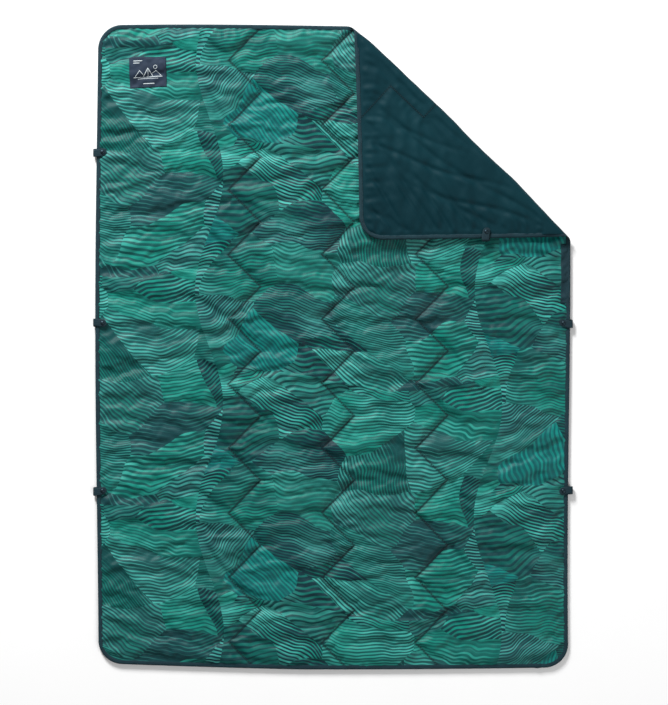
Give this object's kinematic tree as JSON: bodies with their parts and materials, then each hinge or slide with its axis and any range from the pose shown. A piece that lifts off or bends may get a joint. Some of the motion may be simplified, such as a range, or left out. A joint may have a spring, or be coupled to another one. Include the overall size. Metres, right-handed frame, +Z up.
{
  "type": "camp blanket",
  "caption": "Quilted, padded camp blanket with a bound edge, zigzag stitching and snap tabs on its long edges, lying flat with one corner folded over.",
  "frame": {"origin": "under the middle of the blanket, on the plane that its lining rests on", "axes": "+Z up through the thickness, +Y along the length towards the end with the folded corner, +X across the width"},
  "size_m": [1.4, 1.88, 0.0418],
  "materials": {
    "printed_face": "printed ripstop, soft sheen",
    "lining": "plain fine weave, soft sheen",
    "batting": "matt fibre",
    "binding": "ribbed woven tape",
    "webbing": "ribbed webbing",
    "thread": "twisted thread",
    "label": "fine woven patch with a light print",
    "snap": "satin nickel"
  },
  "bodies": {
    "root": {"main_lining": "lining", "main_batting": "batting", "main_face": "printed_face", "main_binding": "binding", "label_patch": "label", "quilt_thread_left": "thread", "quilt_thread_middle": "thread", "quilt_thread_right": "thread", "tab_left_upper_anchor_webbing": "webbing", "tab_left_upper_post": "snap", "tab_left_upper_stud": "snap", "tab_left_middle_anchor_webbing": "webbing", "tab_left_middle_post": "snap", "tab_left_middle_stud": "snap", "tab_left_lower_anchor_webbing": "webbing", "tab_left_lower_post": "snap", "tab_left_lower_stud": "snap", "tab_right_middle_anchor_webbing": "webbing", "tab_right_middle_post": "snap", "tab_right_middle_stud": "snap", "tab_right_lower_anchor_webbing": "webbing", "tab_right_lower_post": "snap", "tab_right_lower_stud": "snap"},
    "corner": {"corner_lining": "lining", "corner_batting": "batting", "corner_face": "printed_face", "corner_binding": "binding", "corner_quilt_thread": "thread", "tab_corner_anchor_webbing": "webbing", "tab_corner_post": "snap", "tab_corner_stud": "snap"},
    "tab_left_upper": {"tab_left_upper_strap": "webbing", "tab_left_upper_socket": "snap", "tab_left_upper_cap": "snap"},
    "tab_left_middle": {"tab_left_middle_strap": "webbing", "tab_left_middle_socket": "snap", "tab_left_middle_cap": "snap"},
    "tab_left_lower": {"tab_left_lower_strap": "webbing", "tab_left_lower_socket": "snap", "tab_left_lower_cap": "snap"},
    "tab_right_middle": {"tab_right_middle_strap": "webbing", "tab_right_middle_socket": "snap", "tab_right_middle_cap": "snap"},
    "tab_right_lower": {"tab_right_lower_strap": "webbing", "tab_right_lower_socket": "snap", "tab_right_lower_cap": "snap"},
    "tab_corner": {"tab_corner_strap": "webbing", "tab_corner_socket": "snap", "tab_corner_cap": "snap"}
  },
  "joints": [
    {"name": "corner_fold", "type": "hinge", "parent": "root", "child": "corner", "pos_m": [0.374, 0.633, 0.0209], "axis": [-0.7172, 0.6968, 0], "range_deg": [0, 180]},
    {"name": "tab_left_upper_snap", "type": "hinge", "parent": "root", "child": "tab_left_upper", "pos_m": [-0.694, 0.569, 0.0074], "axis": [0, -1, 0], "range_deg": [0, 150]},
    {"name": "tab_left_middle_snap", "type": "hinge", "parent": "root", "child": "tab_left_middle", "pos_m": [-0.694, 0.07, 0.0074], "axis": [0, -1, 0], "range_deg": [0, 150]},
    {"name": "tab_left_lower_snap", "type": "hinge", "parent": "root", "child": "tab_left_lower", "pos_m": [-0.694, -0.42, 0.0074], "axis": [0, -1, 0], "range_deg": [0, 150]},
    {"name": "tab_right_middle_snap", "type": "hinge", "parent": "root", "child": "tab_right_middle", "pos_m": [0.694, 0.07, 0.0074], "axis": [0, 1, 0], "range_deg": [0, 150]},
    {"name": "tab_right_lower_snap", "type": "hinge", "parent": "root", "child": "tab_right_lower", "pos_m": [0.694, -0.42, 0.0074], "axis": [0, 1, 0], "range_deg": [0, 150]},
    {"name": "tab_corner_snap", "type": "hinge", "parent": "corner", "child": "tab_corner", "pos_m": [0.44722, 0.31498, 0.0308], "axis": [0.9996, 0.0289, 0], "range_deg": [0, 150]}
  ]
}
